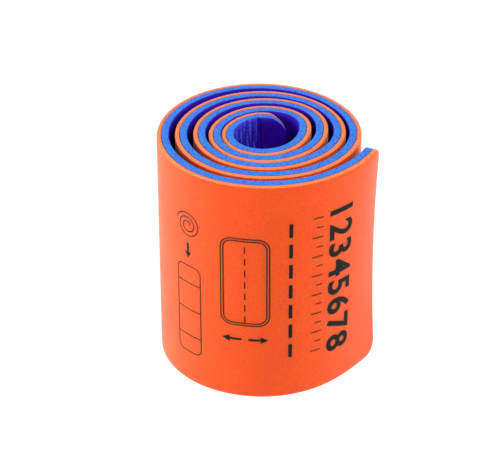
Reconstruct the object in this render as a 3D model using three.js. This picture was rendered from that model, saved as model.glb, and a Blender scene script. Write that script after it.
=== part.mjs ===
// A moldable splint for a limb: one long strip of foam, rolled up and standing on its edge.
// The strip is two sheets of closed-cell foam, a thin one that faces out of the roll and a thicker one
// that faces in, bonded over a thin metal core that doesn't show. The roll is loose: its turns
// nearly touch on the inside, open up on the outside, and the free end springs away from the roll.
// Millimetres, +Z up. The roll stands on the plane z = 0, and the front of the roll faces -Y.

import * as THREE from "three";

// Driving dimensions of the flat strip
const stripWidth = 110; // the height of the standing roll
const stripLength = 913; // along the core, from end to end
const outerFoamThickness = 1.9;
const innerFoamThickness = 3.2;
const coreSlot = 0.3; // the slot between the two sheets, where the core lies
const endCornerRadius = 7.2; // the round corners at both ends of the strip
const freeCornerPower = 2; // of the curve of the free end's corners: 2 is a circle, 1 a straight line
const innerCornerPower = 1.5; // the inner end's corners are blunter
const longEdgeRound = 0.7; // rounding along the long edges of the outer sheet's face

// Driving dimensions of the roll
const holeRadius = 12.25; // the hole in the middle, at its narrowest
const tightestGap = 0.2; // between turns that all but touch
const widestGap = 3.7; // between the free end and the turn inside it
const innerEndAngle = 56.5; // degrees, where the winding starts, anticlockwise from +X seen from above
const creaseAngle = 90; // from the inner end to here the strip is creased straight instead of rolled
const innerEndFacing = 81; // degrees, the way that the straight end's outer face looks
const endSqueeze = 0.55; // the share of its thickness that the foam loses at the inner end
const endSqueezeLength = 9; // the stretch over which it does
const endSlant = 0.35; // how far the inner end's cut slants along the strip, as a share of the depth
const endBow = 1.7; // how far the free end bows in between its two long edges
const endBowLength = 45; // the stretch of strip that bows
const footClosing = [0.86, 0.25]; // shares of the gaps inside the last two turns that close at the foot
const footClosingLength = 72; // the stretch of strip, back from the free end, where they do

const degree = Math.PI / 180;
const fullTurn = 360;

// The hole's radius in each direction seen from above, as a share of holeRadius
const holeShape = {
  backRight: 1.19, back: 1.165, backLeft: 1.03, left: 1.0,
  frontLeft: 1.01, front: 1.035, frontRight: 1.1, right: 1.28,
};
// The gap inside each further turn, from 0 for tightestGap to 1 for widestGap. The last row repeats.
const gapShape = [
  {
    backRight: 0, back: 0, backLeft: 0, left: 0.01,
    frontLeft: 0, front: 0.05, frontRight: 0.29, right: 0.61,
  }, {
    backRight: 0.42, back: 0.37, backLeft: 0.54, left: 0.31,
    frontLeft: 0.08, front: 0.1, frontRight: 0.28, right: 0.68,
  }, {
    backRight: 0.05, back: 0.25, backLeft: 0.48, left: 0.7,
    frontLeft: 0.61, front: 0.45, frontRight: 0.68, right: 0.4,
  }, {
    backRight: 0.17, back: 0.43, backLeft: 0.67, left: 0.68,
    frontLeft: 0.7, front: 0.6, frontRight: 0.59, right: 1,
  },
];
const directions = ["backRight", "back", "backLeft", "left", "frontLeft", "front", "frontRight", "right"];
const firstDirectionAngle = 45; // degrees, of backRight
const directionStep = fullTurn / directions.length;

// How finely the strip is faceted
const facetAngle = 9; // degrees of the winding
const cornerSteps = 6; // over each round corner of the strip
const roundSteps = 2; // over each rounded long edge
const acrossSteps = 4; // across the strip's width

const facetMargin = 1.2; // corner radii left free at each end before the even facets start
const windingStep = 1; // degrees, for measuring along the winding
const mostTurns = 12; // as many as the strip may ever wind
const footPeak = 27 / 4; // brings the highest value of share * (1 - share) ** 2 to 1
const layers = outerFoamThickness + coreSlot + innerFoamThickness;

// The core's radius at each direction, turn after turn, counted outwards from backRight at the inner end
const knotRadii = directions.map((d) => holeRadius * holeShape[d] + innerFoamThickness + coreSlot / 2);
while (knotRadii.length < mostTurns * directions.length) {
  const row = Math.min(Math.floor(knotRadii.length / directions.length), gapShape.length) - 1;
  const share = gapShape[row][directions[knotRadii.length % directions.length]];
  const gap = tightestGap + (widestGap - tightestGap) * share;
  knotRadii.push(knotRadii.at(-directions.length) + layers + gap);
}

// Radius of the rolled core at a winding angle in degrees: a smooth curve through the knots on both sides
function rolledRadius(angle) {
  const place = (angle - firstDirectionAngle) / directionStep;
  const index = Math.floor(place);
  const share = place - index;
  const [before, low, high, after] = [-1, 0, 1, 2].map((step) => knotRadii[Math.max(index + step, 0)]);
  const rise = high - low;
  const startSlope = (high - before) / 2;
  const endSlope = (after - low) / 2;
  return low + share * (startSlope + share * (3 * rise - 2 * startSlope - endSlope
    + share * (startSlope + endSlope - 2 * rise)));
}

// The core's radius, also along the straight inner end, which goes only as far out as the next turn lets it
function coreRadius(angle) {
  if (angle >= creaseAngle) return rolledRadius(angle);
  const fromFacing = (angle - innerEndFacing) * degree;
  const straightEndDistance = rolledRadius(creaseAngle) * Math.cos((creaseAngle - innerEndFacing) * degree);
  const squeezedLayers = layers - endSqueeze * outerFoamThickness;
  const mostRadius = rolledRadius(angle + fullTurn) - squeezedLayers - tightestGap;
  return Math.min(straightEndDistance / Math.cos(fromFacing), mostRadius);
}

function corePoint(angle) {
  const radius = coreRadius(angle);
  return new THREE.Vector2(radius * Math.cos(angle * degree), radius * Math.sin(angle * degree));
}

// The winding measured along the core: angles and lengths from the inner end, up to the whole strip
const winding = [{ angle: innerEndAngle, length: 0 }];
while (winding.at(-1).length < stripLength) {
  const { angle, length } = winding.at(-1);
  const step = corePoint(angle).distanceTo(corePoint(angle + windingStep));
  winding.push({ angle: angle + windingStep, length: length + step });
}

function angleAtLength(length) {
  const next = Math.max(winding.findIndex((w) => w.length >= length), 1);
  const [a, b] = [winding[next - 1], winding[next]];
  return a.angle + (b.angle - a.angle) * (length - a.length) / (b.length - a.length);
}

function lengthAtAngle(angle) {
  const next = Math.max(winding.findIndex((w) => w.angle >= angle), 1);
  const [a, b] = [winding[next - 1], winding[next]];
  return a.length + (b.length - a.length) * (angle - a.angle) / windingStep;
}

// Lengths from the inner end at which the strip has a station: close together over the round corners,
// and at even angles between them, so that the facets of neighbouring turns are parallel
const cornerLengths = Array.from({ length: cornerSteps + 1 }, (_, i) =>
  endCornerRadius * (1 - Math.cos((i / cornerSteps) * 90 * degree)));
const facetStart = angleAtLength(facetMargin * endCornerRadius);
const facetEnd = angleAtLength(stripLength - facetMargin * endCornerRadius);
const stationLengths = [...cornerLengths];
for (let angle = Math.ceil(facetStart / facetAngle) * facetAngle; angle < facetEnd; angle += facetAngle) {
  stationLengths.push(lengthAtAngle(angle));
}
stationLengths.push(...cornerLengths.map((distance) => stripLength - distance).reverse());

// How far the strip leans in at its foot: near the free end the outer turns close part of the gaps inside
function footLean(angle) {
  const turn = Math.floor((angleAtLength(stripLength) - angle) / fullTurn);
  const fromFreeEnd = stripLength - lengthAtAngle(angle + turn * fullTurn);
  const share = Math.min(fromFreeEnd / footClosingLength, 1);
  const closing = footClosing.slice(turn).reduce((sum, closed, step) => {
    const inner = angle - step * fullTurn;
    return sum + closed * (coreRadius(inner) - coreRadius(inner - fullTurn) - layers);
  }, 0);
  return closing * footPeak * share * (1 - share) ** 2;
}

// The strip at one station: where its core lies, which ways are ahead and out, how wide it is, how far it
// bows in at mid-width and leans in at the foot, and how near it is to the inner end, from 0 to 1
function station(length) {
  const angle = angleAtLength(length);
  const ahead = corePoint(angle + windingStep).sub(corePoint(angle - windingStep)).normalize();
  const cornerPower = length < stripLength / 2 ? innerCornerPower : freeCornerPower;
  const inset = Math.max(1 - Math.min(length, stripLength - length) / endCornerRadius, 0);
  const nearEnd = Math.max(1 - (stripLength - length) / endBowLength, 0);
  return {
    centre: corePoint(angle),
    ahead,
    outward: new THREE.Vector2(ahead.y, -ahead.x),
    halfWidth: stripWidth / 2 - endCornerRadius * (1 - (1 - inset ** cornerPower) ** (1 / cornerPower)),
    bow: endBow * nearEnd ** 2,
    lean: footLean(angle),
    nearInnerEnd: Math.max(1 - length / endSqueezeLength, 0),
  };
}

// From the free end inwards, so that the faces of the rolled sheets look outwards
const stations = stationLengths.map(station).reverse();

// Heights across the strip at which its faces may bend
const acrossHeights = Array.from({ length: acrossSteps - 1 }, (_, i) =>
  stripWidth * ((i + 1) / acrossSteps - 0.5));

// The cross-section of the outer sheet, x out from the core and y up, with rounded edges on its face
function outerSection() {
  const half = stripWidth / 2;
  const near = coreSlot / 2;
  const far = near + outerFoamThickness;
  const section = new THREE.Shape();
  section.moveTo(near, -half);
  section.absarc(far - longEdgeRound, longEdgeRound - half, longEdgeRound, -90 * degree, 0, false);
  for (const y of acrossHeights) section.lineTo(far, y);
  section.absarc(far - longEdgeRound, half - longEdgeRound, longEdgeRound, 0, 90 * degree, false);
  section.lineTo(near, half);
  for (const y of acrossHeights.toReversed()) section.lineTo(near, y);
  return section;
}

// The cross-section of the inner sheet, cut square
function innerSection() {
  const half = stripWidth / 2;
  const near = -coreSlot / 2;
  const far = near - innerFoamThickness;
  const section = new THREE.Shape();
  section.moveTo(far, -half);
  section.lineTo(near, -half);
  for (const y of acrossHeights) section.lineTo(near, y);
  section.lineTo(near, half);
  section.lineTo(far, half);
  for (const y of acrossHeights.toReversed()) section.lineTo(far, y);
  return section;
}

// One foam sheet: its section extruded straight over all stations, then rolled up
function foamSheet(name, section, material) {
  const steps = stations.length - 1;
  const geometry = new THREE.ExtrudeGeometry(section, {
    depth: 1, steps, bevelEnabled: false, curveSegments: roundSteps,
  });
  const position = geometry.getAttribute("position");
  for (let i = 0; i < position.count; i++) {
    const place = stations[Math.round(position.getZ(i) * steps)];
    const across = position.getY(i) / (stripWidth / 2);
    const nearFace = Math.sign(position.getX(i)) * coreSlot / 2;
    const depth = (position.getX(i) - nearFace) * (1 - endSqueeze * place.nearInnerEnd);
    const out = nearFace + depth - place.bow * (1 - across ** 2) - place.lean * (1 - across) / 2;
    const point = place.centre.clone().addScaledVector(place.outward, out)
      .addScaledVector(place.ahead, endSlant * depth * place.nearInnerEnd);
    position.setXYZ(i, point.x, point.y, stripWidth / 2 + across * place.halfWidth);
  }
  geometry.computeVertexNormals();
  const mesh = new THREE.Mesh(geometry, material);
  mesh.name = name;
  return mesh;
}

const orangeFoam = new THREE.MeshStandardMaterial({ color: 0xf85c2a, roughness: 0.6, metalness: 0 });
const blueFoam = new THREE.MeshStandardMaterial({ color: 0x2f72e0, roughness: 0.85, metalness: 0 });

const roll = new THREE.Group();
roll.add(foamSheet("outer_foam_sheet", outerSection(), orangeFoam));
roll.add(foamSheet("inner_foam_sheet", innerSection(), blueFoam));

// The roll's outline is centred on the origin
const middle = new THREE.Box3().setFromObject(roll).getCenter(new THREE.Vector3());
roll.position.set(-middle.x, -middle.y, 0);

const splint = new THREE.Group();
splint.add(roll);

export default splint;
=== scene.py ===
# A moldable splint, rolled up and standing on its long edge: one strip of foam that bends to hold a limb
# still. It is a thin orange foam sheet and a thicker blue one, bonded over a thin metal core between them.

import math
from bisect import bisect_left

import bmesh
import bpy
from mathutils import Matrix, Vector


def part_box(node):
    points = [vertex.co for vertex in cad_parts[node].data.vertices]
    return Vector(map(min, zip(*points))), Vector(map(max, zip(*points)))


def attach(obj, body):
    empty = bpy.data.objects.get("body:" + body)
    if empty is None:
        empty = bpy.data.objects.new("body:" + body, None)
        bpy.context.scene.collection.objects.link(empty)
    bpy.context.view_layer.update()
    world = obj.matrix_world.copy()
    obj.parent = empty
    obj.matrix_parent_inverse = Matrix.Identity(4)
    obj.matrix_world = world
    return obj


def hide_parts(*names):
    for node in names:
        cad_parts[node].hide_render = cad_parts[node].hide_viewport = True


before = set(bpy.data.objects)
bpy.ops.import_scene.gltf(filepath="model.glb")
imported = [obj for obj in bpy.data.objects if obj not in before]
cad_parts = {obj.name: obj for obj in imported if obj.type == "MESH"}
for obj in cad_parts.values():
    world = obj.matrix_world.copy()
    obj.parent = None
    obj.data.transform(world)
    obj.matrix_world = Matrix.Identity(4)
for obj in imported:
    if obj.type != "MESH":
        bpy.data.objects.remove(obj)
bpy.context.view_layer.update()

# The camera
# A long lens at the front of the roll, looking down on it by 33 degrees. The roll stands a little right of
# and below the middle of the picture, which the lens shift gives.
mm = 0.001
strip_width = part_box("outer_foam_sheet")[1][2] / mm  # the height of the standing roll
roll_axis = Vector((-2.82, -0.53, 0))  # mm, the line that the strip is wound about
camera_distance = 1101.8  # mm
camera_aim = 55.65  # mm above the table
camera_elevation = math.radians(32.87)

camera_data = bpy.data.cameras.new("camera")
camera_data.sensor_width = 36
camera_data.lens = 178.7
camera_data.shift_x = -0.0296
camera_data.shift_y = 0.0263
camera = bpy.data.objects.new("camera", camera_data)
camera_back = Vector((0, -math.cos(camera_elevation), math.sin(camera_elevation))) * camera_distance
camera.location = (roll_axis + Vector((0, 0, camera_aim)) + camera_back) * mm
camera.rotation_euler = (math.pi / 2 - camera_elevation, 0, 0)
bpy.context.collection.objects.link(camera)
bpy.context.scene.camera = camera
bpy.context.scene.view_settings.view_transform = "Standard"


# The floor and the light
# A seamless white studio table. White light comes from all round, with a soft lamp on each side that draws
# a pale sheen down the left and the right of the roll, one high up on the front right, and a weaker one
# behind.
def linear(hex_colour):
    """An sRGB hex colour as the linear colour that a socket takes."""
    channels = [int(hex_colour[i:i + 2], 16) / 255 for i in (1, 3, 5)]
    return (*(c / 12.92 if c <= 0.04045 else ((c + 0.055) / 1.055) ** 2.4 for c in channels), 1)


def add_node(material, kind, settings=None, links=None):
    """A node with its settings, by socket or property, and its links, from socket to output."""
    node = material.node_tree.nodes.new(kind)
    for name, value in (settings or {}).items():
        if isinstance(name, int) or name in node.inputs:
            node.inputs[name].default_value = value
        else:
            setattr(node, name, value)
    for name, output in (links or {}).items():
        material.node_tree.links.new(output, node.inputs[name])
    return node


def new_material(name):
    """An empty material and its output node."""
    material = bpy.data.materials.new(name)
    material.use_nodes = True
    material.node_tree.nodes.clear()
    return material, add_node(material, "ShaderNodeOutputMaterial")


floor_size = 8000  # mm
table_white, table_output = new_material("white_laminate")
table_shader = add_node(table_white, "ShaderNodeBsdfPrincipled", {
    "Base Color": linear("#909090"), "Roughness": 0.9, "Specular IOR Level": 0.1,
    "Emission Color": linear("#ffffff"), "Emission Strength": 0.9})
table_white.node_tree.links.new(table_shader.outputs[0], table_output.inputs["Surface"])

floor_shape = bmesh.new()
bmesh.ops.create_grid(floor_shape, x_segments=1, y_segments=1, size=floor_size / 2 * mm)
floor_mesh = bpy.data.meshes.new("floor")
floor_shape.to_mesh(floor_mesh)
floor_shape.free()
floor_mesh.materials.append(table_white)
floor = bpy.data.objects.new("floor", floor_mesh)
bpy.context.collection.objects.link(floor)

world = bpy.data.worlds.new("studio")
world.use_nodes = True
world.node_tree.nodes["Background"].inputs["Color"].default_value = linear("#ffffff")
world.node_tree.nodes["Background"].inputs["Strength"].default_value = 0.4
bpy.context.scene.world = world

# Each lamp: its direction from the roll, anticlockwise from +X and up, its distance and size in mm, and its
# power in watts
lamps = [
    {"name": "left_lamp", "around": 188, "up": 10, "distance": 900, "size": 400, "power": 9},
    {"name": "right_lamp", "around": 352, "up": 10, "distance": 900, "size": 400, "power": 3.2},
    {"name": "front_lamp", "around": 298, "up": 48, "distance": 1300, "size": 400, "power": 9.5},
    {"name": "back_lamp", "around": 90, "up": 6, "distance": 1300, "size": 250, "power": 6},
]
for row in lamps:
    lamp_data = bpy.data.lights.new(row["name"], "AREA")
    lamp_data.size = row["size"] * mm
    lamp_data.energy = row["power"]
    lamp = bpy.data.objects.new(row["name"], lamp_data)
    around = math.radians(row["around"])
    up = math.radians(row["up"])
    away = Vector((math.cos(around) * math.cos(up), math.sin(around) * math.cos(up), math.sin(up)))
    lamp.location = (Vector((0, 0, strip_width / 2)) + away * row["distance"]) * mm
    lamp.rotation_euler = away.to_track_quat("Z", "Y").to_euler()
    bpy.context.collection.objects.link(lamp)

# The outer foam sheet
# Closed-cell polyethylene foam, orange, 1.9 mm thick, with a smooth skin outside. It is cut flat with the
# strip's round corners, its face edges are rounded by the cut, and it is then rolled up with the strip.
strip_length = 913  # along the core
outer_thickness = 1.9
inner_thickness = 3.2
core_slot = 0.3
layers = outer_thickness + core_slot + inner_thickness
end_corner_radius = 7.2
free_corner_profile = 0.5  # of the free end's corners: 0.5 is a circle, 0.25 a straight line
inner_corner_profile = 0.397  # the inner end's corners are blunter
outer_edge_round = 0.7
hole_radius = 12.25
tightest_gap = 0.2
widest_gap = 3.7
inner_end_angle = 56.5  # degrees anticlockwise from +X
crease_angle = 90  # up to here from its inner end the strip is creased straight instead of rolled
inner_end_facing = 81  # the way that the straight end's outer face looks
end_squeeze = 0.55  # the share of its thickness that the foam loses at the inner end
end_squeeze_length = 9
end_slant = 0.35  # how far the inner end's cut slants along the strip, as a share of the depth
end_bow = 1.7  # how far the free end bows in at mid-width
end_bow_length = 45
foot_closing = [0.86, 0.25]  # shares of the gaps inside the last two turns that close at the foot
foot_closing_length = 72  # back from the free end
foot_peak = 27 / 4  # brings the highest value of share * (1 - share) ** 2 to 1
facet_length = 2.5  # along the strip
facet_height = 4.6  # across it
corner_segments = 10
edge_segments = 3

# The hole's radius in each direction as a share of hole_radius, and then the gap inside each further turn
# from 0 for tightest_gap to 1 for widest_gap. The strip winds anticlockwise outwards through the directions.
directions = ["back_right", "back", "back_left", "left", "front_left", "front", "front_right", "right"]
hole_shape = {"back_right": 1.19, "back": 1.165, "back_left": 1.03, "left": 1,
              "front_left": 1.01, "front": 1.035, "front_right": 1.1, "right": 1.28}
gap_shape = [
    {"back_right": 0, "back": 0, "back_left": 0, "left": 0.01,
     "front_left": 0, "front": 0.05, "front_right": 0.29, "right": 0.61},
    {"back_right": 0.42, "back": 0.37, "back_left": 0.54, "left": 0.31,
     "front_left": 0.08, "front": 0.1, "front_right": 0.28, "right": 0.68},
    {"back_right": 0.05, "back": 0.25, "back_left": 0.48, "left": 0.7,
     "front_left": 0.61, "front": 0.45, "front_right": 0.68, "right": 0.4},
    {"back_right": 0.17, "back": 0.43, "back_left": 0.67, "left": 0.68,
     "front_left": 0.7, "front": 0.6, "front_right": 0.59, "right": 1},
]
first_direction = 45  # degrees, of back_right
full_turn = 360
direction_step = full_turn / len(directions)
core_radii = [hole_radius * hole_shape[d] + inner_thickness + core_slot / 2 for d in directions]
for turn in gap_shape + gap_shape[-1:]:
    for direction in directions:
        gap = tightest_gap + (widest_gap - tightest_gap) * turn[direction]
        core_radii.append(core_radii[-len(directions)] + layers + gap)


def rolled_radius(angle):
    """The rolled core's radius at a winding angle in degrees: a smooth curve through core_radii."""
    place = (angle - first_direction) / direction_step
    index = math.floor(place)
    share = place - index
    before, low, high, after = (core_radii[max(index + step, 0)] for step in (-1, 0, 1, 2))
    rise, start_slope, end_slope = high - low, (high - before) / 2, (after - low) / 2
    return low + share * (start_slope + share * (3 * rise - 2 * start_slope - end_slope
                                                 + share * (start_slope + end_slope - 2 * rise)))


def core_radius(angle):
    """The core's radius, also along the straight inner end, which the turn round it may hold back."""
    if angle >= crease_angle:
        return rolled_radius(angle)
    end_distance = rolled_radius(crease_angle) * math.cos(math.radians(crease_angle - inner_end_facing))
    straight = end_distance / math.cos(math.radians(angle - inner_end_facing))
    squeezed_layers = layers - end_squeeze * outer_thickness
    return min(straight, rolled_radius(angle + full_turn) - squeezed_layers - tightest_gap)


def core_point(angle):
    """The core's place, seen from above, at a winding angle in degrees."""
    return Vector((math.cos(math.radians(angle)), math.sin(math.radians(angle)), 0)) * core_radius(angle)


winding = [(0.0, inner_end_angle)]
while winding[-1][0] < strip_length:
    length, angle = winding[-1]
    winding.append((length + (core_point(angle + 1) - core_point(angle)).length, angle + 1))
winding_lengths = [length for length, angle in winding]


def angle_at(length):
    """The winding angle at a length along the core."""
    i = min(max(bisect_left(winding_lengths, length), 1), len(winding) - 1)
    (length_a, angle_a), (length_b, angle_b) = winding[i - 1], winding[i]
    return angle_a + (angle_b - angle_a) * (length - length_a) / (length_b - length_a)


def length_at(angle):
    """The length along the core at a winding angle."""
    i = min(int(angle - inner_end_angle), len(winding) - 2)
    (length_a, angle_a), (length_b, _) = winding[i], winding[i + 1]
    return length_a + (length_b - length_a) * (angle - angle_a)


free_end_angle = angle_at(strip_length)


def foot_lean(angle):
    """How far the strip leans in at its foot: the last two turns close part of the gaps inside them."""
    turn = max(math.floor((free_end_angle - angle) / full_turn), 0)
    if turn >= len(foot_closing):
        return 0
    share = min((strip_length - length_at(angle + turn * full_turn)) / foot_closing_length, 1)
    closing = 0
    for step, closed in enumerate(foot_closing[turn:]):
        inner = angle - step * full_turn
        closing += closed * (core_radius(inner) - core_radius(inner - full_turn) - layers)
    return closing * foot_peak * share * (1 - share) ** 2


def rolled(length, up, out):
    """The place in the roll, in m, of a flat strip's point in mm: along it, up from its middle, and out."""
    angle = angle_at(length)
    ahead = (core_point(angle + 1) - core_point(angle - 1)).normalized()
    outward = Vector((ahead.y, -ahead.x, 0))
    across = 2 * up / strip_width
    bow = end_bow * max(1 - (strip_length - length) / end_bow_length, 0) ** 2 * (1 - across ** 2)
    near_inner_end = max(1 - length / end_squeeze_length, 0)
    near_face = math.copysign(core_slot / 2, out)
    depth = (out - near_face) * (1 - end_squeeze * near_inner_end)
    from_core = near_face + depth - bow - foot_lean(angle) * (1 - across) / 2
    seen_from_above = core_point(angle) + outward * from_core + ahead * end_slant * depth * near_inner_end
    return (roll_axis + seen_from_above + Vector((0, 0, strip_width / 2 + up))) * mm


def cut_across(shape, axis, places):
    """Cuts a flat shape at each place along an axis, so that it can bend there."""
    for place in places:
        bmesh.ops.bisect_plane(shape, geom=shape.verts[:] + shape.edges[:] + shape.faces[:],
                               plane_co=axis * place, plane_no=axis)


core_edge_round = 0.05
outer_skin_tilt = 0.8  # the cosine of the tilt past which the rounded edge is cut foam, without the skin


def flat_sheet(low, high, round_low, round_high, skin_tilt, lengths, heights):
    """A foam sheet before rolling, from low to high out of the core, with softened edges on its faces."""
    shape = bmesh.new()
    size = Vector((strip_length, strip_width, high - low))
    middle = Vector((strip_length / 2, 0, (low + high) / 2))
    bmesh.ops.create_cube(shape, size=1, matrix=Matrix.LocRotScale(middle, None, size))
    for at_free_end, profile in ((False, inner_corner_profile), (True, free_corner_profile)):
        corners = [e for e in shape.edges if abs(e.verts[0].co.z - e.verts[1].co.z) > size.z / 2
                   and (e.verts[0].co.x > middle.x) == at_free_end]
        bmesh.ops.bevel(shape, geom=corners, affect="EDGES", offset=end_corner_radius, offset_type="OFFSET",
                        segments=corner_segments, profile=profile, material=-1)
    for height, round_size in ((low, round_low), (high, round_high)):
        rim = [e for e in shape.edges if all(abs(v.co.z - height) < 1e-4 for v in e.verts)]
        bmesh.ops.bevel(shape, geom=rim, affect="EDGES", offset=round_size, offset_type="OFFSET",
                        segments=edge_segments, profile=0.5, material=-1)
    shape.normal_update()
    for face in shape.faces:
        face.material_index = 0 if abs(face.normal.z) > skin_tilt else 1
    cut_across(shape, Vector((1, 0, 0)), lengths)
    cut_across(shape, Vector((0, 1, 0)), heights)
    return shape


def rolled_piece(name, shape, materials, smooth=True):
    """A piece from a flat shape, rolled up with the strip. Its points keep their flat place."""
    flat_places = [v.co.copy() for v in shape.verts]
    for vertex in shape.verts:
        vertex.co = rolled(vertex.co.x, vertex.co.y, vertex.co.z)
    bmesh.ops.recalc_face_normals(shape, faces=shape.faces[:])
    for face in shape.faces:
        face.smooth = smooth
    mesh = bpy.data.meshes.new(name)
    shape.to_mesh(mesh)
    shape.free()
    flat = mesh.attributes.new("flat_place", "FLOAT_VECTOR", "POINT")
    for item, place in zip(flat.data, flat_places):
        item.vector = place * mm
    for material in materials:
        mesh.materials.append(material)
    piece = bpy.data.objects.new(name, mesh)
    bpy.context.collection.objects.link(piece)
    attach(piece, "root")
    return piece


def steps_between(low, high, step):
    """Places from low to high, about a step apart, without the two ends."""
    count = round((high - low) / step)
    return [low + (high - low) * i / count for i in range(1, count)]


# Foam with a moulded skin: near-smooth and satin, evenly orange, with a faint grain of the cells under it.
skin_grain = 0.9  # mm, between cells
orange_skin, orange_skin_output = new_material("orange_polyethylene_foam_skin")
skin_place = add_node(orange_skin, "ShaderNodeTexCoord")
skin_cells = add_node(orange_skin, "ShaderNodeTexNoise", {
    "Scale": 1 / (skin_grain * mm), "Detail": 2.0}, {"Vector": skin_place.outputs["Object"]})
skin_colour = add_node(orange_skin, "ShaderNodeValToRGB", links={"Fac": skin_cells.outputs["Fac"]})
skin_colour.color_ramp.elements[0].color = linear("#ea4304")
skin_colour.color_ramp.elements[0].position = 0.3
skin_colour.color_ramp.elements[1].color = linear("#f65105")
skin_colour.color_ramp.elements[1].position = 0.7
skin_bump = add_node(orange_skin, "ShaderNodeBump", {
    "Strength": 0.25, "Distance": 0.1 * mm}, {"Height": skin_cells.outputs["Fac"]})
skin_shader = add_node(orange_skin, "ShaderNodeBsdfPrincipled", {
    "Roughness": 0.55, "Specular IOR Level": 0.17, "IOR": 1.5, "Sheen Weight": 0.3,
    "Sheen Roughness": 0.4, "Subsurface Weight": 1, "Subsurface Radius": (1, 0.1, 0.05),
    "Subsurface Scale": 7 * mm},
    {"Base Color": skin_colour.outputs["Color"], "Normal": skin_bump.outputs["Normal"]})
orange_skin.node_tree.links.new(skin_shader.outputs[0], orange_skin_output.inputs["Surface"])

# The same foam where the blade went through: open cells, lighter walls and small dark pores.
orange_pore = 0.7  # mm, drawn twice the real cell so that it shows
orange_cut, orange_cut_output = new_material("orange_polyethylene_foam_cut")
cut_place = add_node(orange_cut, "ShaderNodeTexCoord")
cut_cells = add_node(orange_cut, "ShaderNodeTexVoronoi", {
    "Scale": 1 / (orange_pore * mm)}, {"Vector": cut_place.outputs["Object"]})
cut_colour = add_node(orange_cut, "ShaderNodeValToRGB", links={"Fac": cut_cells.outputs["Distance"]})
cut_colour.color_ramp.elements[0].color = linear("#e65a28")
cut_colour.color_ramp.elements[0].position = 0.15
cut_colour.color_ramp.elements[1].color = linear("#f8884e")
cut_colour.color_ramp.elements[1].position = 0.45
cut_bump = add_node(orange_cut, "ShaderNodeBump", {
    "Strength": 0.4, "Distance": 0.15 * mm}, {"Height": cut_cells.outputs["Distance"]})
cut_shader = add_node(orange_cut, "ShaderNodeBsdfPrincipled", {
    "Roughness": 0.8, "Specular IOR Level": 0.2, "Sheen Weight": 0.3, "Sheen Roughness": 0.4},
    {"Base Color": cut_colour.outputs["Color"], "Normal": cut_bump.outputs["Normal"]})
orange_cut.node_tree.links.new(cut_shader.outputs[0], orange_cut_output.inputs["Surface"])

outer_face = core_slot / 2 + outer_thickness  # mm out from the core
outer_shape = flat_sheet(core_slot / 2, outer_face, core_edge_round, outer_edge_round, outer_skin_tilt,
                         steps_between(0, strip_length, facet_length),
                         steps_between(-strip_width / 2, strip_width / 2, facet_height))
outer_sheet = rolled_piece("outer_foam", outer_shape, [orange_skin, orange_cut])
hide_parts("outer_foam_sheet")

# The inner foam sheet
# The same kind of foam in blue, 3.2 mm thick. It lies on the inside of every bend, so its face is pressed
# together along the strip, and round the hole it buckles into fine upright wrinkles beside one deep crease.
inner_edge_round = 0.4
inner_skin_tilt = 0.5
edge_bulge = 0.25  # how far the upper edge bulges up at the face, where the bend presses the foam together
wrinkle_facet = 0.3
inner_facet_height = 2.5
rim_depth = 16  # mm from the long edge, within which a wrinkle leans and gets shallower
# Each wrinkle: how far it is from the strip's inner end, how much further at the long edge, its sway along
# the strip, its depth and its width, all in mm. The first is the crease where the roll begins, and the last
# lie one turn further out, beside the inner end.
wrinkles = [
    {"at": 10.4, "lean": 2.4, "sway": 0.1, "depth": 1.7, "width": 0.4},
    {"at": 14.2, "lean": 0.8, "sway": 0.5, "depth": 0.6, "width": 0.5},
    {"at": 16.3, "lean": 0.6, "sway": 0.4, "depth": 0.9, "width": 0.6},
    {"at": 18.6, "lean": 0.4, "sway": 0.6, "depth": 0.7, "width": 0.5},
    {"at": 20.6, "lean": 0.3, "sway": 0.5, "depth": 1.0, "width": 0.6},
    {"at": 23.0, "lean": 0.2, "sway": 0.4, "depth": 0.8, "width": 0.5},
    {"at": 25.1, "lean": 0, "sway": 0.6, "depth": 0.9, "width": 0.6},
    {"at": 27.6, "lean": 0, "sway": 0.5, "depth": 0.7, "width": 0.5},
    {"at": 30.2, "lean": 0, "sway": 0.5, "depth": 0.8, "width": 0.7},
    {"at": 33.4, "lean": 0, "sway": 0.7, "depth": 0.5, "width": 0.7},
    {"at": 86.5, "lean": 0, "sway": 0.5, "depth": 0.5, "width": 0.6},
    {"at": 89.2, "lean": 0, "sway": 0.5, "depth": 0.8, "width": 0.6},
    {"at": 92.0, "lean": 0, "sway": 0.4, "depth": 0.7, "width": 0.6},
    {"at": 95.1, "lean": 0, "sway": 0.5, "depth": 0.5, "width": 0.7},
]
sway_height = 4  # mm across the strip, over which a wrinkle's sway turns by one radian
sway_shift = 2.4  # radians, between the sways of neighbouring wrinkles
rim_fading = 0.7  # the share of its depth that a wrinkle loses at the long edge
wrinkle_zones = [(0, 38), (84, 98)]  # mm of strip that are cut finely enough to wrinkle
ridge_zones = [(14, 36), (85, 97)]  # where the folds between wrinkles get a painted highlight
painted_ridge_highlight_depth = 0.5  # mm below the face, down to which the painted highlight reaches
painted_edge_light_width = 4  # mm from the long edge, within which the face is painted lighter, for light that reaches the gap walls near the rim


def wrinkle_depth(length, up):
    """How deep the face is pressed in at a flat place."""
    near_edge = max(abs(up) - strip_width / 2 + rim_depth, 0) / rim_depth
    depth = 0
    for i, row in enumerate(wrinkles):
        sway = row["sway"] * math.sin(up / sway_height + sway_shift * i)
        middle = row["at"] + row["lean"] * near_edge + sway
        depth += row["depth"] * math.exp(-((length - middle) / row["width"]) ** 2)
    return depth * (1 - rim_fading * near_edge ** 2)
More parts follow.
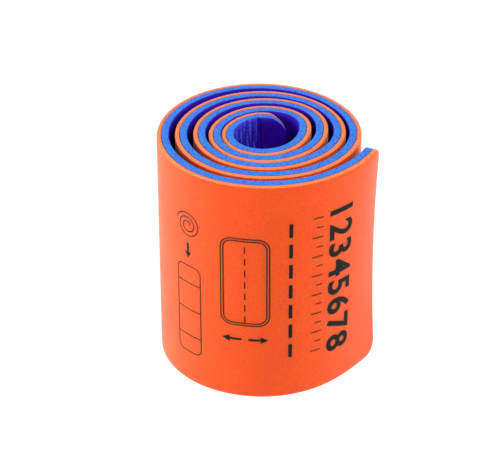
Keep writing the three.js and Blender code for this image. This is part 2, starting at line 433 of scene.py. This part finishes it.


# The foam's inner face: a matt skin, deep violet blue, with a fine upright crinkle. Painted light makes it
# lighter along the long edges, where light reaches the gap walls near the rim, and painted highlights
# lighten the folds between the wrinkles in spots.
crinkle = 1.2  # mm along the strip
blue_grain = 1.1  # mm, between the foam's coarser cells
blue_skin, blue_skin_output = new_material("blue_polyethylene_foam_skin")
blue_place = add_node(blue_skin, "ShaderNodeAttribute", {"attribute_name": "flat_place"})
blue_stretch = add_node(blue_skin, "ShaderNodeMapping", {"Scale": (1, 0.35, 1)},
                        {"Vector": blue_place.outputs["Vector"]})
blue_crinkle = add_node(blue_skin, "ShaderNodeTexNoise", {
    "Scale": 1 / (crinkle * mm), "Detail": 3.0}, {"Vector": blue_stretch.outputs["Vector"]})
blue_skin_colour = add_node(blue_skin, "ShaderNodeValToRGB", links={"Fac": blue_crinkle.outputs["Fac"]})
blue_skin_colour.color_ramp.elements[0].color = linear("#2a008e")
blue_skin_colour.color_ramp.elements[0].position = 0.45
blue_skin_colour.color_ramp.elements[1].color = linear("#3604a8")
blue_skin_colour.color_ramp.elements[1].position = 0.75
# Painted light: the skin is lightened near the long edges, where light reaches down into the gaps.
painted_edge_light_amount = add_node(blue_skin, "ShaderNodeAttribute", {"attribute_name": "painted_edge_light"})
painted_edge_light_colour = add_node(blue_skin, "ShaderNodeMix", {"data_type": "RGBA", 7: linear("#3a1cb8")},
                       {0: painted_edge_light_amount.outputs["Fac"], 6: blue_skin_colour.outputs["Color"]})
painted_ridge_highlight_share = add_node(blue_skin, "ShaderNodeAttribute", {"attribute_name": "painted_ridge_highlight"})
blue_object_place = add_node(blue_skin, "ShaderNodeTexCoord")
blue_cells = add_node(blue_skin, "ShaderNodeTexNoise", {
    "Scale": 1 / (blue_grain * mm), "Detail": 2.0}, {"Vector": blue_object_place.outputs["Object"]})
# Painted highlight: the ridge tops between the wrinkles are lightened in spots.
painted_ridge_highlight_spots = add_node(blue_skin, "ShaderNodeMapRange", {"From Min": 0.25, "From Max": 0.65},
                        {"Value": blue_cells.outputs["Fac"]})
painted_ridge_highlight_here = add_node(blue_skin, "ShaderNodeMath", {"operation": "MULTIPLY"},
                       {0: painted_ridge_highlight_share.outputs["Fac"], 1: painted_ridge_highlight_spots.outputs["Result"]})
painted_ridge_highlight_colour = add_node(blue_skin, "ShaderNodeMix", {"data_type": "RGBA", 7: linear("#4e5cfa")},
                         {0: painted_ridge_highlight_here.outputs[0], 6: painted_edge_light_colour.outputs[2]})
crinkle_bump = add_node(blue_skin, "ShaderNodeBump", {
    "Strength": 0.5, "Distance": 0.5 * mm}, {"Height": blue_crinkle.outputs["Fac"]})
blue_bump = add_node(blue_skin, "ShaderNodeBump", {
    "Strength": 0.3, "Distance": 0.15 * mm},
    {"Height": blue_cells.outputs["Fac"], "Normal": crinkle_bump.outputs["Normal"]})
blue_skin_shader = add_node(blue_skin, "ShaderNodeBsdfPrincipled", {
    "Roughness": 0.8, "Specular IOR Level": 0.05},
    {"Base Color": painted_ridge_highlight_colour.outputs[2], "Normal": blue_bump.outputs["Normal"]})
blue_skin.node_tree.links.new(blue_skin_shader.outputs[0], blue_skin_output.inputs["Surface"])

# The cut edge of the blue foam: open cells in a brighter blue, peppered with dark pores.
blue_pore = 0.95  # mm, drawn coarse so that it shows
blue_cut, blue_cut_output = new_material("blue_polyethylene_foam_cut")
blue_cut_place = add_node(blue_cut, "ShaderNodeTexCoord")
blue_pores = add_node(blue_cut, "ShaderNodeTexVoronoi", {
    "Scale": 1 / (blue_pore * mm)}, {"Vector": blue_cut_place.outputs["Object"]})
blue_cut_colour = add_node(blue_cut, "ShaderNodeValToRGB", links={"Fac": blue_pores.outputs["Distance"]})
blue_cut_colour.color_ramp.elements[0].color = linear("#3a32cc")
blue_cut_colour.color_ramp.elements[0].position = 0.1
blue_cut_colour.color_ramp.elements[1].color = linear("#3a8aee")
blue_cut_colour.color_ramp.elements[1].position = 0.5
blue_cut_bump = add_node(blue_cut, "ShaderNodeBump", {
    "Strength": 0.6, "Distance": 0.3 * mm}, {"Height": blue_pores.outputs["Distance"]})
blue_cut_shader = add_node(blue_cut, "ShaderNodeBsdfPrincipled", {
    "Roughness": 0.85, "Specular IOR Level": 0.15},
    {"Base Color": blue_cut_colour.outputs["Color"], "Normal": blue_cut_bump.outputs["Normal"]})
blue_cut.node_tree.links.new(blue_cut_shader.outputs[0], blue_cut_output.inputs["Surface"])

inner_face = -core_slot / 2 - inner_thickness
inner_facets = []
facets_from = 0
for low, high in wrinkle_zones:
    inner_facets += steps_between(facets_from, low, facet_length) + [low]
    inner_facets += steps_between(low, high, wrinkle_facet) + [high]
    facets_from = high
inner_facets += steps_between(facets_from, strip_length, facet_length)
inner_shape = flat_sheet(inner_face, -core_slot / 2, inner_edge_round, core_edge_round, inner_skin_tilt,
                         inner_facets[1:],
                         steps_between(-strip_width / 2, strip_width / 2, inner_facet_height))
for vertex in inner_shape.verts:
    depth_share = (vertex.co.z + core_slot / 2) / (inner_face + core_slot / 2)
    vertex.co.z += wrinkle_depth(vertex.co.x, vertex.co.y) * depth_share ** 2
    if vertex.co.y > strip_width / 2 - end_corner_radius:
        vertex.co.y += edge_bulge * depth_share * min(max(vertex.co.x / end_corner_radius - 1, 0), 1)
inner_sheet = rolled_piece("inner_foam", inner_shape, [blue_skin, blue_cut])
# Painted highlight on the ridge tops: strongest at the face, gone at its depth below it, only in the ridge
# zones.
painted_ridge_highlight = inner_sheet.data.attributes.new("painted_ridge_highlight", "FLOAT", "POINT")
# Painted light near the long edges: full at the edge, gone at the edge light's width in from it.
painted_edge_light = inner_sheet.data.attributes.new("painted_edge_light", "FLOAT", "POINT")
for i, flat in enumerate(inner_sheet.data.attributes["flat_place"].data):
    along, up, out = flat.vector / mm
    pressed = (out - inner_face) / painted_ridge_highlight_depth
    in_zone = any(low < along < high for low, high in ridge_zones)
    painted_ridge_highlight.data[i].value = max(1 - pressed, 0) if in_zone else 0
    painted_edge_light.data[i].value = max(1 - (strip_width / 2 - abs(up)) / painted_edge_light_width, 0)
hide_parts("inner_foam_sheet")

# The printing
# Matt black ink, screen printed on the orange face while the strip is flat: a centimetre scale with bold
# numerals, a broken fold line, and two plain figures, a strip that folds lengthwise and one that unrolls.
# All sizes are mm on the flat strip.
ink_thickness = 0.16  # half of it sunk in the foam's skin
print_step = 1.25  # along the strip, between the places where the ink can bend
fine_line = 0.55
bold_line = 1.1
dash_line = 1.6
dash_count = 7
arc_steps = 6  # in a quarter circle
head_length = 3  # an arrow's head, in widths of its line
head_width = 3.2
numeral_weight = 0.022  # how far a numeral's outline is moved outwards, as a share of its size

black_ink, black_ink_output = new_material("black_screen_ink")
ink_place = add_node(black_ink, "ShaderNodeTexCoord")
ink_grain = add_node(black_ink, "ShaderNodeTexNoise", {
    "Scale": 1 / (skin_grain * mm), "Detail": 2.0}, {"Vector": ink_place.outputs["Object"]})
ink_colour = add_node(black_ink, "ShaderNodeValToRGB", links={"Fac": ink_grain.outputs["Fac"]})
ink_colour.color_ramp.elements[0].color = linear("#080706")
ink_colour.color_ramp.elements[0].position = 0.35
ink_colour.color_ramp.elements[1].color = linear("#0f0e0c")
ink_colour.color_ramp.elements[1].position = 0.75
ink_bump = add_node(black_ink, "ShaderNodeBump", {
    "Strength": 0.2, "Distance": 0.1 * mm}, {"Height": ink_grain.outputs["Fac"]})
ink_shader = add_node(black_ink, "ShaderNodeBsdfPrincipled", {
    "Roughness": 0.6, "Specular IOR Level": 0.15},
    {"Base Color": ink_colour.outputs["Color"], "Normal": ink_bump.outputs["Normal"]})
black_ink.node_tree.links.new(ink_shader.outputs[0], black_ink_output.inputs["Surface"])


def outer_turn(direction):
    """The place along the strip where its outermost turn crosses a direction in degrees."""
    turns = math.floor((winding[-1][1] - direction) / full_turn)
    return winding_lengths[round(direction + turns * full_turn - inner_end_angle)]


def add_curve(shape, curve, place):
    """Adds a curve or text to a flat shape, as a mesh that is pressed to the ink's thickness and moved."""
    mesh = bpy.data.meshes.new_from_object(bpy.data.objects.new("print", curve))
    thickness = max(v.co.z for v in mesh.vertices) - min(v.co.z for v in mesh.vertices)
    mesh.transform(place @ Matrix.Diagonal((1, 1, ink_thickness / thickness, 1)))
    shape.from_mesh(mesh)


def add_line(shape, points, width, closed=False, tip=1):
    """Adds a printed line through flat points. Its tip is the share of its width that it ends with."""
    curve = bpy.data.curves.new("line", "CURVE")
    curve.dimensions = "3D"
    curve.bevel_depth = width / 2
    curve.bevel_resolution = 1
    curve.use_fill_caps = not closed
    spline = curve.splines.new("POLY")
    spline.points.add(len(points) - 1)
    spline.use_cyclic_u = closed
    for point, (along, up) in zip(spline.points, points):
        point.co = (along, up, 0, 1)
    spline.points[-1].radius = tip
    add_curve(shape, curve, Matrix.Translation((0, 0, outer_face)))


def add_numeral(shape, numeral, size, along, up):
    """Adds a bold numeral that reads down the strip's width, with its foot towards the inner end."""
    curve = bpy.data.curves.new("numeral", "FONT")
    curve.body = numeral
    curve.size = size
    curve.offset = numeral_weight * size
    curve.extrude = ink_thickness / 2
    curve.align_x = "CENTER"
    curve.align_y = "CENTER"
    place = Matrix.Translation((along, up, outer_face)) @ Matrix.Rotation(-math.pi / 2, 4, "Z")
    add_curve(shape, curve, place)


def arc(along, up, radius, start, sweep, steps):
    """Points of an arc on the flat strip, its start and sweep in degrees."""
    angles = [math.radians(start + sweep * i / steps) for i in range(steps + 1)]
    return [(along + radius * math.cos(a), up + radius * math.sin(a)) for a in angles]


def round_rectangle(along, up, width, height, corner):
    """Points of a rectangle with round corners on the flat strip."""
    half_width, half_height = width / 2 - corner, height / 2 - corner
    points = []
    for quarter, (side, end) in enumerate(((1, 1), (-1, 1), (-1, -1), (1, -1))):
        points += arc(along + side * half_width, up + end * half_height, corner, 90 * quarter, 90,
                      arc_steps)
    return points


def add_arrow(shape, start, end, width):
    """Adds an arrow between two flat points, with a head that tapers to a point."""
    run = Vector(end) - Vector(start)
    neck = Vector(end) - run.normalized() * width * head_length
    add_line(shape, [start, tuple(neck)], width)
    add_line(shape, [tuple(neck), end], width * head_width, tip=0)


def add_dashes(shape, along, top, dash, step, width):
    """Adds a broken line across the strip, from the top down."""
    for i in range(dash_count):
        dash_top = top - step * i
        add_line(shape, [(along, dash_top), (along, dash_top - dash)], width)


def printed_piece(name, shape):
    """A printed figure on the rolled strip."""
    bmesh.ops.remove_doubles(shape, verts=shape.verts[:], dist=1e-5)
    low = min(v.co.x for v in shape.verts)
    high = max(v.co.x for v in shape.verts)
    cut_across(shape, Vector((1, 0, 0)), steps_between(low, high, print_step))
    return rolled_piece(name, shape, [black_ink], smooth=False)


# The centimetre scale, beside the free end
scale_shape = bmesh.new()
scale_at = outer_turn(316)
scale_top = 36.5  # up from mid-width
scale_numerals = "12345678"
numeral_size = 17.5
centimetre = 10
ticks_from = scale_at - 9
for i, numeral in enumerate(scale_numerals):
    add_numeral(scale_shape, numeral, numeral_size, scale_at, scale_top - centimetre * i)
for i in range(2 * len(scale_numerals) - 1):
    tick = 5 if i % 2 == 0 else 3
    tick_up = scale_top - centimetre / 2 * i
    add_line(scale_shape, [(ticks_from - tick, tick_up), (ticks_from, tick_up)], fine_line)
printed_piece("printed_scale", scale_shape)

# The broken fold line
fold_shape = bmesh.new()
add_dashes(fold_shape, outer_turn(286), top=36, dash=7, step=10.5, width=dash_line)
printed_piece("printed_fold_line", fold_shape)

# The strip that folds lengthwise, with an arrow across it
strip_shape = bmesh.new()
strip_at = outer_turn(261)
for inset in (0, 1.2):
    outline = round_rectangle(strip_at, 6, 21 - 2 * inset, 45 - 2 * inset, 5 - inset)
    add_line(strip_shape, outline, fine_line, closed=True)
add_dashes(strip_shape, strip_at, top=24.5, dash=3.4, step=6, width=fine_line)
arrow_up = -24
for side in (-1, 1):
    add_arrow(strip_shape, (strip_at + side * 1.5, arrow_up), (strip_at + side * 10, arrow_up), bold_line)
printed_piece("printed_folding_strip", strip_shape)

# The strip that unrolls: its roll seen from the end, an arrow down, and the flat strip
roll_shape = bmesh.new()
roll_at = outer_turn(224)
spiral_steps = 60
spiral_start = 1.4  # the first radius
spiral_growth = 0.09  # at each step
spiral_turn = 15  # degrees at each step
spiral = []
for i in range(spiral_steps):
    spiral += arc(roll_at, 28, spiral_start + spiral_growth * i, spiral_turn * i, 0, 1)[:1]
add_line(roll_shape, spiral, fine_line)
add_arrow(roll_shape, (roll_at, 19), (roll_at, 11), bold_line)
flat_up, flat_width, flat_height = -16, 13, 46
add_line(roll_shape, round_rectangle(roll_at, flat_up, flat_width, flat_height, 3), fine_line, closed=True)
fold_step = 14
for up in (flat_up + fold_step, flat_up, flat_up - fold_step):
    add_line(roll_shape, [(roll_at - flat_width / 2, up), (roll_at + flat_width / 2, up)], fine_line)
printed_piece("printed_unrolling_strip", roll_shape)
